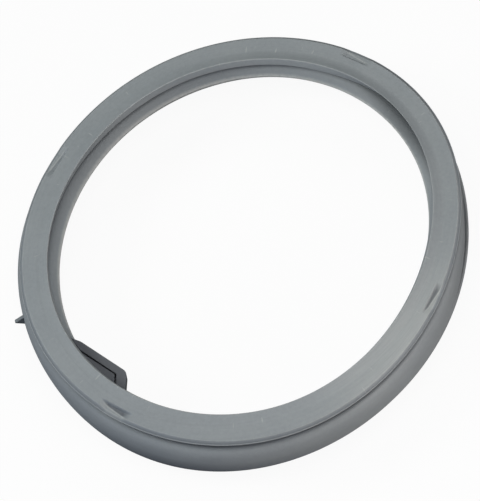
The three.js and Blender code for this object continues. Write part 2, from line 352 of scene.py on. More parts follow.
def front_face():
    """The crest, a straight slope that runs out into the valley, and the plain margin."""
    crest = np.array([CREST_RADIUS, OVERALL_HEIGHT])
    foot = np.array([between(CREST_RADIUS, VALLEY_RADIUS, VALLEY_FOOT_SHARE), VALLEY_HEIGHT])
    valley = (VALLEY_RADIUS, VALLEY_HEIGHT)
    edge = (FACE_EDGE_RADIUS, FACE_EDGE_HEIGHT)
    slope_pull = between(crest, foot, VALLEY_SLOPE_SHARE)
    slope = stations(bezier([crest, slope_pull, foot, valley], SLOPE_STEPS), CREST, FACE)
    margin = stations(bezier([valley, edge], MARGIN_STEPS), FACE, FACE)
    depth = OVERALL_HEIGHT - VALLEY_HEIGHT
    width = FACE_EDGE_RADIUS - VALLEY_RADIUS
    for made, _ in slope:
        made[RISE] = VALLEY_RISE * (OVERALL_HEIGHT - made[Z]) / depth
    for made, _ in margin:
        made[RISE] = VALLEY_RISE * (FACE_EDGE_RADIUS - made[R]) / width
    return [
        (station(*crest, CREST), CREST_ROUNDING),
        *slope[CORNER_CLEARANCE:],
        *margin[1:-CORNER_CLEARANCE],
        (station(*edge, FACE), FACE_EDGE_ROUNDING),
    ]


def wall_stations(depth):
    """The outer wall from its shoulder down to its foot, at a depth under its outer surface."""
    shoulder = (LIP_RADIUS - SHOULDER_INSET, GROOVE_BOTTOM)
    foot = (WALL_EDGE_RADIUS - WALL_FOOT_OUT, WALL_EDGE_HEIGHT + WALL_EDGE_ROUNDING)
    barrel = bezier([
        shoulder,
        (shoulder[0] + SHOULDER_REACH, shoulder[1] - SHOULDER_FALL),
        (foot[0], WALL_EDGE_HEIGHT + WALL_TURN),
        foot,
    ], WALL_STEPS)
    shares = np.linspace(0, 1, len(barrel))
    barrel += depth * inward(barrel)
    barrel[:, 0] += WALL_FOOT_OUT * shares ** WALL_FOOT_SHARPNESS
    wall = stations(barrel, FACE, WALL)
    for (made, _), share in zip(wall, shares):
        made[BULGE] = WALL_BULGE * math.sin(math.pi * share)
    return wall


def outer_side():
    """Outer lip, panel groove and outer wall, down to the clamp groove."""
    bevel_foot = FACE_EDGE_HEIGHT - LIP_BEVEL_FALL
    return [
        (station(FACE_EDGE_RADIUS + LIP_BEVEL_OUT, bevel_foot, FACE), BEVEL_FOOT_ROUNDING),
        (station(LIP_RADIUS, FACE_EDGE_HEIGHT - BEAD_TOP_FALL, FACE), BEAD_ROUNDING),
        (station(LIP_RADIUS, GROOVE_TOP, FACE), BEAD_ROUNDING),
        (station(GROOVE_ROOT_RADIUS, GROOVE_TOP, FACE), BEAD_ROUNDING),
        (station(GROOVE_ROOT_RADIUS, GROOVE_BOTTOM - GROOVE_SINK, FACE), BEAD_ROUNDING),
        *wall_stations(0)[:-1],
        (station(WALL_EDGE_RADIUS, WALL_EDGE_HEIGHT, WALL), WALL_EDGE_ROUNDING),
    ]


def rear_bead():
    """The clamp groove, the flange and the rim."""
    return [
        (station(CLAMP_ROOT_RADIUS, WALL_EDGE_HEIGHT, CLAMP), CLAMP_GROOVE_ROUNDING),
        (station(CLAMP_ROOT_RADIUS, FLANGE_THICKNESS, CLAMP), CLAMP_GROOVE_ROUNDING),
        (station(FLANGE_RADIUS, FLANGE_THICKNESS, REAR), FLANGE_ROUNDING),
        (station(FLANGE_RADIUS, 0, REAR), FLANGE_ROUNDING),
        (station(RIM_INNER_RADIUS, 0, REAR), FLANGE_ROUNDING),
    ]


def inner_wall():
    """Up from the rim to the throat and along the curl, and back on the rubber's far side."""
    throat = (THROAT_RADIUS, THROAT_HEIGHT)
    curl_top = THROAT_HEIGHT + CURL_RISE
    lower = bezier([
        (RIM_INNER_RADIUS, FLANGE_ROUNDING),
        (RIM_INNER_RADIUS - INNER_WALL_PULL, WALL_EDGE_HEIGHT),
        (THROAT_RADIUS, THROAT_HEIGHT - INNER_WALL_TURN),
        throat,
    ], LOWER_WALL_STEPS)
    curl = bezier([
        throat,
        (THROAT_RADIUS + CURL_START_OUT, THROAT_HEIGHT + CURL_START_RISE),
        (THROAT_RADIUS + CURL_REACH - CURL_END_PULL, curl_top),
        (THROAT_RADIUS + CURL_REACH, curl_top),
    ], CURL_STEPS)
    near = []
    far = []
    runs = ((lower, REAR, THROAT, 0), (curl, THROAT, FACE, OPEN_CURL))
    for points, first, last, opening in runs:
        backs = points + RUBBER * inward(points)
        shares = np.linspace(0, 1, len(points))
        for p, back, share in list(zip(points, backs, shares))[1:]:
            level = between(first, last, share)
            down = opening * share ** OPEN_CURL_POWER
            rounding = THROAT_ROUNDING if tuple(p) == throat else 0
            near.append((station(*p, level, 0, down), rounding))
            if p[1] > BEAD_DEPTH + RUBBER and p[0] > THROAT_RADIUS + 0.5 * RUBBER:
                far.insert(0, (station(*back, level, 0, down), 0))
    tip_near = (near[-1][0], CURL_TIP_ROUNDING)
    tip_far = (far[0][0], CURL_TIP_ROUNDING)
    return near[:-1] + [tip_near, tip_far] + far[1:]


def hollow():
    """The hollow between the inner and outer walls, round to the inner lip."""
    groove_back = GROOVE_ROOT_RADIUS - RUBBER
    groove_underside = GROOVE_BOTTOM - GROOVE_SINK - RUBBER
    corner_radius = LIP_RADIUS - 0.5 * SHOULDER_INSET - RUBBER
    foot_height = WALL_EDGE_HEIGHT + WALL_EDGE_ROUNDING + RUBBER
    wall_back = [s for s in wall_stations(RUBBER) if foot_height < s[0][Z] < groove_underside]
    face_back = VALLEY_HEIGHT - RUBBER
    lip_front = CREST_RADIUS - INNER_LIP_LEAN
    lip_back = lip_front + INNER_LIP_THICKNESS
    lip_height = OVERALL_HEIGHT - INNER_LIP_DEPTH
    return [
        (station(RIM_INNER_RADIUS, BEAD_DEPTH, CLAMP), HIDDEN_ROUNDING),
        (station(CLAMP_ROOT_RADIUS - BEAD_THICKNESS, BEAD_DEPTH, CLAMP), HIDDEN_ROUNDING),
        (station(WALL_EDGE_RADIUS - RUBBER, foot_height, WALL), HIDDEN_ROUNDING),
        *wall_back[::-1],
        (station(corner_radius, groove_underside, FACE), HIDDEN_ROUNDING),
        (station(groove_back, groove_underside, FACE), HIDDEN_ROUNDING),
        (station(groove_back, face_back, FACE), HIDDEN_ROUNDING),
        (station(VALLEY_RADIUS, face_back, FACE), HIDDEN_ROUNDING),
        (station(lip_back, lip_height, CREST, OPEN_LIP), LIP_EDGE_ROUNDING),
        (station(lip_front, lip_height, CREST, OPEN_LIP), LIP_EDGE_ROUNDING),
    ]


def round_corners(outline):
    """The closed outline with its corners rounded, and for each point how far it is an edge."""
    points = []
    edges = []
    for i, (corner, rounding) in enumerate(outline):
        if rounding == 0:
            points.append(corner)
            edges.append(0)
            continue
        ends = []
        for other in (outline[i - 1][0], outline[(i + 1) % len(outline)][0]):
            length = np.hypot(*(other - corner)[:2])
            ends.append(between(corner, other, min(rounding / length, LARGEST_CORNER_SHARE)))
        steps = CORNER_STEPS if rounding < HIDDEN_ROUNDING else HIDDEN_CORNER_STEPS
        arc = bezier([ends[0], corner, ends[1]], steps)
        points.extend(arc)
        edges.extend(np.sin(np.linspace(0, math.pi, len(arc))))
    return np.array(points), np.array(edges)


def sweep_azimuths():
    """Even steps around the ring, with finer ones through each recess."""
    coarse = np.arange(0, 360, AZIMUTH_STEP)
    half = math.degrees(0.5 * RECESS_LENGTH / FACE_EDGE_RADIUS) + RECESS_AZIMUTH_MARGIN
    fine = []
    for middle in RECESS_AZIMUTHS:
        steps = round(half / RECESS_AZIMUTH_STEP)
        fine.append(middle + RECESS_AZIMUTH_STEP * np.arange(-steps, steps + 1))
        coarse = coarse[np.abs(coarse - middle) > half + 0.5 * AZIMUTH_STEP]
    return np.sort(np.concatenate([coarse, *fine]))


def recess_ceiling(r, azimuth):
    """The height that the recesses leave at a point of the face, high where there is none."""
    ceiling = np.full(np.broadcast(r, azimuth).shape, ABOVE_ALL)
    floor = FACE_EDGE_HEIGHT - RECESS_DEPTH
    end_run = 0.5 * (RECESS_LENGTH - RECESS_FLOOR_LENGTH)
    for middle in RECESS_AZIMUTHS:
        turn = np.radians(azimuth - middle)
        x = r * np.cos(turn) - wave(middle, FACE)
        y = np.abs(r * np.sin(turn))
        in_wall = (RECESS_FLOOR_RADIUS - x) / RECESS_WALL_RUN
        in_end = (y - 0.5 * RECESS_FLOOR_LENGTH) / end_run
        rise = RECESS_DEPTH * np.maximum(0, np.maximum(in_wall, in_end))
        ceiling = np.minimum(ceiling, np.where(np.cos(turn) > 0, floor + rise, ceiling))
    return ceiling


def cut_recesses(section, r, z, azimuth):
    """Lowers the face into its recesses, and presses the outer lip down under each of them."""
    plain_r = section[:, R][None, :]
    plain_z = section[:, Z][None, :]
    lowered = smooth_least(z, recess_ceiling(r, azimuth), RECESS_SOFTNESS)
    edge_r = FACE_EDGE_RADIUS + wave(azimuth, FACE)
    edge = smooth_least(FACE_EDGE_HEIGHT, recess_ceiling(edge_r, azimuth), RECESS_SOFTNESS)
    share = (plain_z - GROOVE_TOP) / (FACE_EDGE_HEIGHT - GROOVE_TOP)
    pressed = between(GROOVE_TOP, edge, share)
    on_face = (plain_r <= FACE_EDGE_RADIUS) & (plain_z >= VALLEY_HEIGHT - NEAR)
    on_lip = (plain_r > FACE_EDGE_RADIUS) & (plain_z > GROOVE_TOP) & (plain_z <= FACE_EDGE_HEIGHT)
    return np.where(on_face, lowered, np.where(on_lip, pressed, z))


def placed(points, axis):
    """Leans points of the ring over, and moves them to their place in the frame, in metres."""
    points = np.array(points, float)
    points[:, 0] += LEAN[0] * points[:, 2] + axis[0]
    points[:, 1] += LEAN[1] * points[:, 2] + axis[1]
    return points * MM


def new_object(name, mesh):
    made = bpy.data.objects.new(name, mesh)
    bpy.context.scene.collection.objects.link(made)
    for polygon in mesh.polygons:
        polygon.use_smooth = True
    return made


def shade_evenly(body):
    """Shades the large faces flat, so that the narrow ones at the corners take the turn."""
    body.modifiers.new("even shading", "WEIGHTED_NORMAL").weight = SHADING_WEIGHT


def on_outer_wall(section):
    """1 on the outer wall and everything under it, and 0 elsewhere."""
    outside = section[:, R] > LIP_RADIUS - SHOULDER_INSET - NEAR
    return (outside & (section[:, Z] < GROOVE_BOTTOM + NEAR)).astype(float)


def shade_in_grooves(section):
    """The painted shade in the panel groove and the clamp groove."""
    r = section[:, R]
    z = section[:, Z]
    panel = (r > GROOVE_ROOT_RADIUS - NEAR) & (r < LIP_RADIUS - SHOULDER_INSET)
    panel &= (z > GROOVE_BOTTOM - GROOVE_SINK - NEAR) & (z < GROOVE_TOP + NEAR)
    clamp = (r > CLAMP_ROOT_RADIUS - NEAR) & (r < FLANGE_RADIUS - FLANGE_ROUNDING)
    clamp &= (z > FLANGE_THICKNESS - NEAR) & (z < WALL_EDGE_HEIGHT + NEAR)
    return GROOVE_SHADE * (panel | clamp)


def at_foot(section, azimuth):
    """The painted shade at the foot of the outer wall, on the side that bulges."""
    low = np.clip(1 - (section[:, Z] - WALL_EDGE_HEIGHT) / FOOT_SHADE_HEIGHT, 0, 1)
    side = swelling(azimuth, FOOT_SHADE_AZIMUTH, FOOT_SHADE_HALF_WIDTH)
    return FOOT_SHADE * low * on_outer_wall(section) * side


def at_bevel_foot(section):
    """The painted shade in the corner between the outer lip's bevel and its bead."""
    near_r = np.abs(section[:, R] - FACE_EDGE_RADIUS - LIP_BEVEL_OUT) < BEVEL_FOOT_REACH
    near_z = np.abs(section[:, Z] - FACE_EDGE_HEIGHT + LIP_BEVEL_FALL) < BEVEL_FOOT_REACH
    return BEVEL_FOOT_SHADE * (near_r & near_z)


def on_shoulder(section, azimuth):
    """The painted shadow of the lip, fading out over the shoulder from the panel groove down."""
    high = np.clip(1 - (GROOVE_BOTTOM - section[:, Z]) / SHOULDER_SHADE_HEIGHT, 0, 1)
    shade_cut = SHOULDER_SHADE_CUT * swelling(azimuth, SHOULDER_SHADE_CUT_AZIMUTH, SHOULDER_SHADE_CUT_HALF_WIDTH)
    return SHOULDER_SHADE * high * on_outer_wall(section) * (1 - shade_cut)


def recess_marks(section, r, azimuth):
    """Painted shade in a wedge by each recess's inner wall, and a painted highlight line along the
    wedge.
    """
    on_face = (section[:, R] <= FACE_EDGE_RADIUS) & (section[:, Z] >= VALLEY_HEIGHT - NEAR)
    sunk = np.clip((FACE_EDGE_HEIGHT - recess_ceiling(r, azimuth)) / RECESS_DEPTH, 0, 1) * on_face
    shade_values = np.zeros(r.shape)
    paled = np.zeros(r.shape)
    half_line = 0.5 * RECESS_LINE_WIDTH
    for middle, shade in zip(RECESS_AZIMUTHS, RECESS_SHADES):
        turn = np.radians(azimuth - middle)
        along = np.clip(r * np.sin(turn) / RECESS_LENGTH + 0.5, 0, 1)
        outside = r * np.cos(turn) - wave(middle, FACE) - RECESS_FLOOR_RADIUS
        reach = between(RECESS_SHADE_NARROW, RECESS_SHADE_WIDE, along)
        here = sunk * (np.cos(turn) > 0) * (np.abs(r * np.sin(turn)) < RECESS_LENGTH)
        in_wedge = np.clip((reach - outside) / RECESS_SHADE_EDGE, 0, 1)
        on_line = np.clip(1 - np.abs(outside - reach - half_line) / RECESS_LINE_WIDTH, 0, 1)
        shade_values = np.maximum(shade_values, shade * here * in_wedge)
        paled = np.maximum(paled, RECESS_LINE_HIGHLIGHT * here * on_line)
    return shade_values, paled


def fold_shade(section):
    """From 0 at the throat's edge to 1 where the curl goes under the face, for the fold's painted
    shade.
    """
    r = section[:, R]
    z = section[:, Z]
    depth = np.clip((r - THROAT_RADIUS - FOLD_LIGHT_REACH) / FOLD_DARKENING_REACH, 0, 1)
    between_walls = (z > THROAT_HEIGHT - RUBBER) & (z < VALLEY_HEIGHT - RUBBER)
    return depth * (between_walls & (r < GROOVE_ROOT_RADIUS - RUBBER))


def throat_rim(section):
    """From 1 on the throat's thin edge to 0 a little further up the curl and down the wall."""
    away = np.hypot(section[:, R] - THROAT_RADIUS, section[:, Z] - THROAT_HEIGHT)
    return np.clip(1 - away / THROAT_RIM_REACH, 0, 1)


def rubbed_sheen(section, azimuth):
    """1 in the middle of the face's painted sheen, fading along it and towards the crest."""
    along = swelling(azimuth, RUBBED_SHEEN_AZIMUTH, RUBBED_SHEEN_HALF_WIDTH)
    share = (section[:, R] - CREST_RADIUS) / (FACE_EDGE_RADIUS - CREST_RADIUS)
    on_face = (section[:, Z] > VALLEY_HEIGHT - NEAR) & (share > 0) & (share < 1)
    return along * on_face * between(RUBBED_SHEEN_AT_CREST, 1, np.clip(share, 0, 1))


def grid_faces(turns, count):
    """Faces of a closed section swept all the way round."""
    i = np.arange(turns)[:, None]
    j = np.arange(count)[None, :]
    after = (j + 1) % count
    ahead = (i + 1) % turns
    corners = [i * count + j, i * count + after, ahead * count + after, ahead * count + j]
    return np.stack(corners, axis=-1).reshape(-1, len(corners))


def mark_wear_and_painted_light(mesh, section, edges, r, azimuth):
    """Gives the ring's points their wear, painted shade and light, and place around and across it.
    """
    turns, count = r.shape
    recess_painted_shade, recess_highlight = recess_marks(section, r, azimuth)
    # All these shades are painted shade: grooves, bevel foot, shoulder, wall's foot and recesses
    shades = (
        shade_in_grooves(section),
        at_bevel_foot(section),
        on_shoulder(section, azimuth),
        at_foot(section, azimuth),
    )
    shade_values = recess_painted_shade
    for shade in shades:
        shade_values = np.maximum(shade_values, shade)
    # The throat rim and the recess lines add painted highlights to the edges' paleness
    lightening = np.maximum(np.maximum(edges, THROAT_RIM_HIGHLIGHT * throat_rim(section)), recess_highlight)
    shade_cut = FOLD_SHADE_CUT * swelling(azimuth, LEAST_FOLD_SHADE_AZIMUTH, LEAST_FOLD_SHADE_HALF_WIDTH)
    marks = {
        "outer_wall": np.tile(on_outer_wall(section), turns),
        "painted_shade": shade_values,
        "pale_edges_and_highlights": lightening,
        "fold_shade": fold_shade(section) * (1 - shade_cut),
        "rubbed_sheen": rubbed_sheen(section, azimuth),
        "around": np.repeat(np.radians(azimuth[:, 0]) * FACE_EDGE_RADIUS, count),
        "across": r,
    }
    for name, values in marks.items():
        made = mesh.attributes.new(name, "FLOAT", "POINT")
        made.data.foreach_set("value", values.ravel().astype(np.float32))


def seal_ring(axis):
    """The ring: the section swept round, with its waves, its open fold and its recesses."""
    section, edges = round_corners(
        front_face() + outer_side() + rear_bead() + inner_wall() + hollow())
    azimuth = sweep_azimuths()[:, None]
    opening = swelling(azimuth, OPEN_AZIMUTH, OPEN_HALF_WIDTH)
    lip_out = opening + LIP_TUCK * swelling(azimuth, TUCK_AZIMUTH, TUCK_HALF_WIDTH)
    swell = wave(azimuth, section[:, FOLLOW].T)
    bulge = section[:, BULGE] * wall_bulging(azimuth)
    rise = section[:, RISE] * valley_fading(azimuth)
    r = section[:, R] + swell + section[:, OPEN_OUT] * lip_out + bulge
    z = section[:, Z] - section[:, OPEN_DOWN] * opening + rise
    z = cut_recesses(section, r, z, azimuth)
    x = r * np.cos(np.radians(azimuth)) + section[:, RIGHT]
    y = r * np.sin(np.radians(azimuth)) + section[:, BACK]
    points = placed(np.stack([x, y, z], axis=-1).reshape(-1, 3), axis)

    mesh = bpy.data.meshes.new("door_seal_ring")
    mesh.from_pydata(points.tolist(), [], grid_faces(*r.shape).tolist())
    mark_wear_and_painted_light(mesh, section, edges, r, azimuth)
    ring = new_object("door_seal_ring", mesh)
    shade_evenly(ring)
    return ring


def prism(name, plan, bottom, top):
    """A closed upright prism over a plan outline that runs anticlockwise."""
    mesh = bpy.data.meshes.new(name)
    count = len(plan)
    points = [(x, y, z) for z in (bottom, top) for x, y in plan]
    faces = [tuple(reversed(range(count))), tuple(range(count, 2 * count))]
    for i in range(count):
        after = (i + 1) % count
        faces.append((i, after, count + after, count + i))
    mesh.from_pydata(points, [], faces)
    return new_object(name, mesh)


def rounded_end(points, rounding):
    """A plan outline whose last corner is rounded."""
    tip = np.array(points[-1])
    ends = []
    for other in (points[-2], points[0]):
        away = np.array(other) - tip
        ends.append(tip + away * rounding / np.hypot(*away))
    return [*points[:-1], *bezier([ends[0], tip, ends[1]], PLAN_CORNER_STEPS)]


def anticlockwise(plan):
    """The same outline, turned round where it runs clockwise."""
    x, y = np.array(plan).T
    turning = np.sum(x * np.roll(y, -1) - y * np.roll(x, -1))
    return list(plan) if turning > 0 else list(plan)[::-1]


def cut(body, cutter):
    """Cuts one closed mesh out of another, and leaves only the result."""
    hole = body.modifiers.new("cut", "BOOLEAN")
    hole.operation = "DIFFERENCE"
    hole.solver = "EXACT"
    hole.object = cutter
    finish_modifiers(body)
    bpy.data.objects.remove(cutter)


def finish_modifiers(body):
    """Turns an object's modifiers into its mesh."""
    bpy.context.view_layer.update()
    evaluated = body.evaluated_get(bpy.context.evaluated_depsgraph_get())
    done = bpy.data.meshes.new_from_object(evaluated)
    body.modifiers.clear()
    body.data = done


def soften(body, rounding):
    """Rounds the edges of a small part."""
    bevel = body.modifiers.new("edges", "BEVEL")
    bevel.width = rounding
    bevel.segments = EDGE_SEGMENTS
    bevel.limit_method = "ANGLE"
    bevel.angle_limit = math.radians(EDGE_ANGLE)
    finish_modifiers(body)
    shade_evenly(body)


def lean_into_place(body, axis):
    """Takes a mesh made in millimetres beside the ring's axis to its place in the frame."""
    points = placed([v.co for v in body.data.vertices], axis)
    body.data.vertices.foreach_set("co", points.ravel())
    body.data.update()


def beside_throat(step, azimuth):
    return on_ring(THROAT_RADIUS + step, azimuth, THROAT)


def unit(vector):
    return vector / np.hypot(*vector)


def water_scoop(axis):
    """A lug beside the throat, with a pocket in its front and a narrow slit along the pocket."""
    middle_azimuth = between(LUG_START_AZIMUTH, LUG_END_AZIMUTH, 0.5)
    start = beside_throat(-LUG_ROOT, LUG_START_AZIMUTH)
    corner = beside_throat(-LUG_REACH, LUG_CORNER_AZIMUTH)
    plan = rounded_end([
        beside_throat(LUG_ROOT, LUG_END_AZIMUTH),
        beside_throat(LUG_ROOT, middle_azimuth),
        beside_throat(LUG_ROOT, LUG_START_AZIMUTH - LUG_TAIL),
        start,
        corner,
    ], LUG_CORNER_ROUNDING)
    scoop = prism("water_scoop", anticlockwise(plan), LUG_TOP - LUG_THICKNESS, LUG_TOP)

    end = beside_throat(POCKET_ROOT, LUG_END_AZIMUTH)
    along = unit(corner - start)
    outward = np.array([along[1], -along[0]])
    endward = unit(end - corner)

    def hollow_plan(inset, end_inset):
        """The pocket's plan, its inner corner moved in from the pocket's own."""
        from_side = outward * (POCKET_BORDER + inset)
        inner = corner - along * (POCKET_END_BORDER + end_inset) + from_side
        reach = np.dot(end - inner, endward)
        return [
            inner,
            inner + endward * reach,
            beside_throat(POCKET_ROOT, middle_azimuth),
            start + from_side,
        ]

    top = LUG_TOP + CUTTER_MARGIN
    pocket_plan = anticlockwise(hollow_plan(0, 0))
    inside_slit = anticlockwise(hollow_plan(SLIT_WIDTH, SLIT_END_WIDTH))
    pocket = prism("pocket", pocket_plan, LUG_TOP - POCKET_DEPTH, top)
    cut(scoop, pocket)
    slit = prism("slit", pocket_plan, LUG_TOP - SLIT_DEPTH, top)
    keep = prism("slit_keep", inside_slit, 0, OVERALL_HEIGHT)
    cut(slit, keep)
    cut(scoop, slit)
    soften(scoop, LUG_EDGE_ROUNDING)
    lean_into_place(scoop, axis)
    return scoop


def alignment_fin(axis):
    """An upright three-cornered fin on the outer wall."""
    root = LIP_RADIUS - FIN_ROOT
    plan = rounded_end([
        (root, FIN_TOP_HEIGHT),
        (root, FIN_TOP_HEIGHT - FIN_HEIGHT),
        (LIP_RADIUS + FIN_REACH, FIN_TOP_HEIGHT - FIN_HEIGHT * (1 - FIN_TIP_SHARE)),
    ], FIN_TIP_ROUNDING)
    fin = prism("alignment_fin", anticlockwise(plan), -0.5 * FIN_THICKNESS, 0.5 * FIN_THICKNESS)
    soften(fin, FIN_EDGE_ROUNDING)
    level = between(FACE, WALL, FIN_LEVEL_SHARE)
    stand = (
        Matrix.Translation((*level[SHIFT], 0))
        @ Matrix.Rotation(math.radians(FIN_AZIMUTH), 4, "Z")
        @ Matrix.Translation((wave(FIN_AZIMUTH, level), 0, 0))
        @ Matrix.Rotation(0.5 * math.pi, 4, "X")
    )
    fin.data.transform(stand)
    lean_into_place(fin, axis)
    return fin


# Materials

# Noises as (scale, detail, roughness), the first three over metres of space and the others over
# millimetres around and across the ring
GRAIN_NOISE = (1400, 3, 0.55)
MOTTLE_NOISE = (330, 6, 0.65)
CLOUD_NOISE = (22, 4, 0.55)
STREAK_NOISE = (1.1, 3, 0.6)
LINE_NOISE = (0.55, 2, 0.6)
SCUFF_NOISE = (0.34, 1, 0.6)

# How much the noises are squeezed around the ring and across it: streaks and mould lines run
# around it, and scuffs across it
STREAK_STRETCH = (0.035, 1)
LINE_STRETCH = (0.003, 1)
SCUFF_STRETCH = (1, 0.22)

# The span of a noise that makes most of its pattern, and the spans that make clouds and scuffs
NOISE_SPAN = (0.3, 0.7)
CLOUD_SPAN = (0.35, 0.75)
SCUFF_SPAN = (0.72, 0.78)

FAINTEST_STREAK = 0.5
FAINTEST_EDGE = 0.4
ROUGHNESS_SWING = 0.06
RUBBER_SPECULAR = 0.35


def srgb(red, green, blue):
    """A colour as it looks, from 0 to 255, in the linear values that a shader takes."""
    linear = []
    for value in (red, green, blue):
        share = value / 255
        linear.append(share / 12.92 if share <= 0.04045 else ((share + 0.055) / 1.055) ** 2.4)
    return (*linear, 1)


def link(tree, *pairs):
    for out, into in pairs:
        tree.links.new(out, into)


def noise_node(tree, scale, detail, roughness):
    node = tree.nodes.new("ShaderNodeTexNoise")
    node.inputs["Scale"].default_value = scale
    node.inputs["Detail"].default_value = detail
    node.inputs["Roughness"].default_value = roughness
    return node


def map_range(tree, source, span, to_low, to_high):
    """A value taken from a span to between two others, and held there beyond the span's ends."""
    node = tree.nodes.new("ShaderNodeMapRange")
    names = ("From Min", "From Max", "To Min", "To Max")
    for name, value in zip(names, (*span, to_low, to_high)):
        node.inputs[name].default_value = value
    tree.links.new(source, node.inputs["Value"])
    return node.outputs["Result"]


def math_node(tree, operation, *values):
    node = tree.nodes.new("ShaderNodeMath")
    node.operation = operation
    for socket, value in zip(node.inputs, values):
        if isinstance(value, (int, float)):
            socket.default_value = value
        else:
            tree.links.new(value, socket)
    return node.outputs["Value"]


def attribute(tree, name):
    node = tree.nodes.new("ShaderNodeAttribute")
    node.attribute_name = name
    return node.outputs["Fac"]


def mix_colours(tree, share, first, second):
    node = tree.nodes.new("ShaderNodeMix")
    node.data_type = "RGBA"
    for source, name in ((share, "Factor"), (first, "A"), (second, "B")):
        tree.links.new(source, node.inputs[name])
    return node.outputs["Result"]


def ring_noise(tree, noise_values, stretch):
    """Noise over millimetres around and across the ring, stretched one way."""
    place = tree.nodes.new("ShaderNodeCombineXYZ")
    for name, share, socket in zip(("around", "across"), stretch, ("X", "Y")):
        squeezed = math_node(tree, "MULTIPLY", attribute(tree, name), share)
        tree.links.new(squeezed, place.inputs[socket])
    noise = noise_node(tree, *noise_values)
    tree.links.new(place.outputs["Vector"], noise.inputs["Vector"])
    return noise.outputs["Fac"]


def product(tree, *values):
    """All these values multiplied together."""
    result = values[0]
    for value in values[1:]:
        result = math_node(tree, "MULTIPLY", result, value)
    return result


def pale_marks(tree, given, edge_break):
    """Paleness: worn edges and painted highlights, streaks on a painted sheen, and a few short
    scuffs.
    """
    # Edge paleness: partly wear, partly painted highlight on the arrises, the throat rim and
    # recess lines
    paled = product(tree, attribute(tree, "pale_edges_and_highlights"), edge_break, given["Wear And Highlight"])
    streaks = ring_noise(tree, STREAK_NOISE, STREAK_STRETCH)
    streaks = map_range(tree, streaks, NOISE_SPAN, FAINTEST_STREAK, 1)
    streaks = product(tree, streaks, attribute(tree, "rubbed_sheen"), given["Streaks"])
    scuffs = map_range(tree, ring_noise(tree, SCUFF_NOISE, SCUFF_STRETCH), SCUFF_SPAN, 0, 1)
    off_wall = math_node(tree, "SUBTRACT", 1, attribute(tree, "outer_wall"))
    scuffs = product(tree, scuffs, given["Scuffs"], off_wall)
    return math_node(tree, "ADD", math_node(tree, "ADD", paled, streaks), scuffs)


